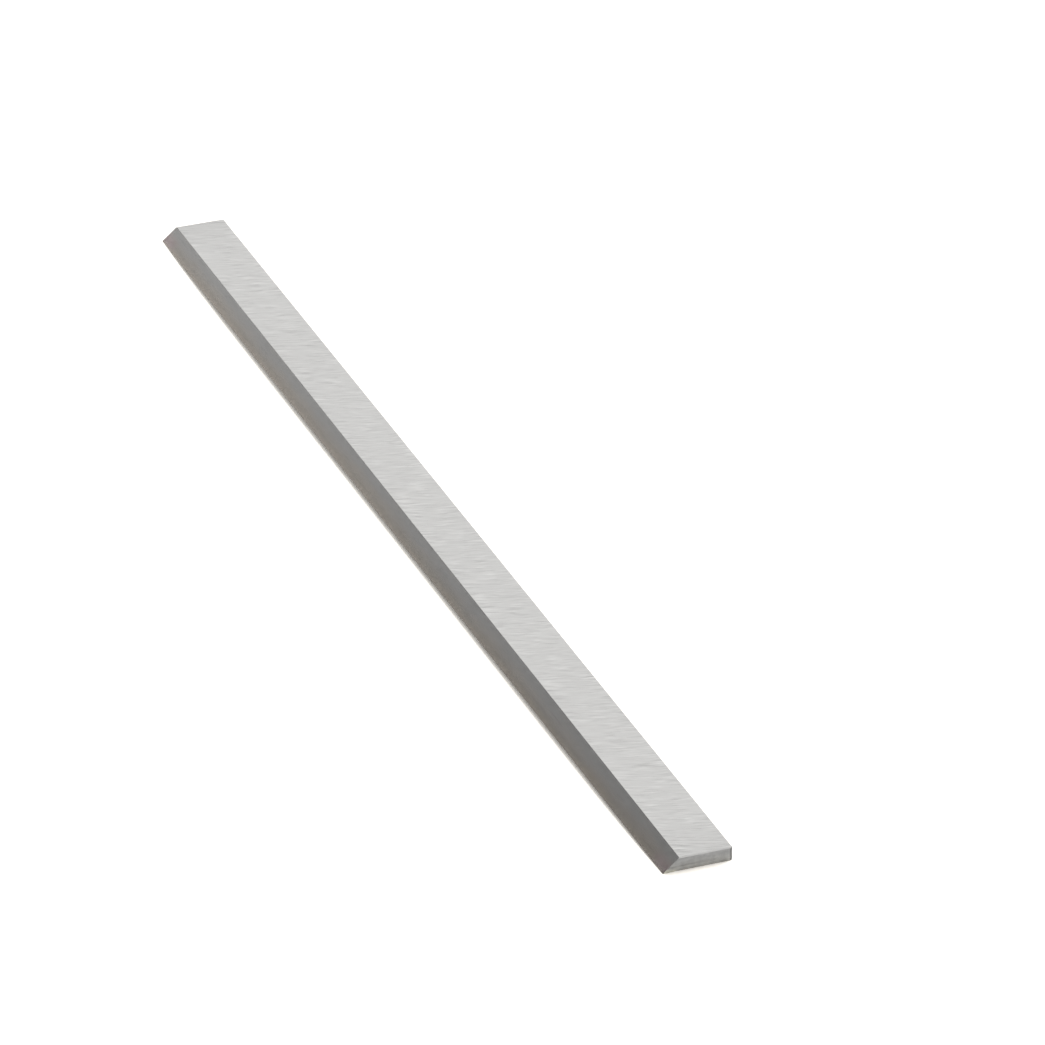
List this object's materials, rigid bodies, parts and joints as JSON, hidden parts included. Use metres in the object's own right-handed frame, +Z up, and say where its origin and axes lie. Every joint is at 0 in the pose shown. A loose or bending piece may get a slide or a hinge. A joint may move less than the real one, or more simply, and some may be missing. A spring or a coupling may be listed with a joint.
{
  "type": "planer knife",
  "caption": "Long flat steel bar with a bevel ground along its front to a sharp cutting edge, clamped in a planer or jointer cutterhead to plane wood.",
  "frame": {"origin": "middle of the flat underside, on the surface that the knife lies on", "axes": "+X along the knife, +Y from the cutting edge to the heel, +Z up from the underside to the bevelled face"},
  "size_m": [0.3302, 0.0158, 0.0032],
  "materials": {
    "steel": "surface-ground hardened steel, fine grinding lines across the flat faces"
  },
  "bodies": {
    "root": {"knife": "steel"}
  },
  "joints": []
}
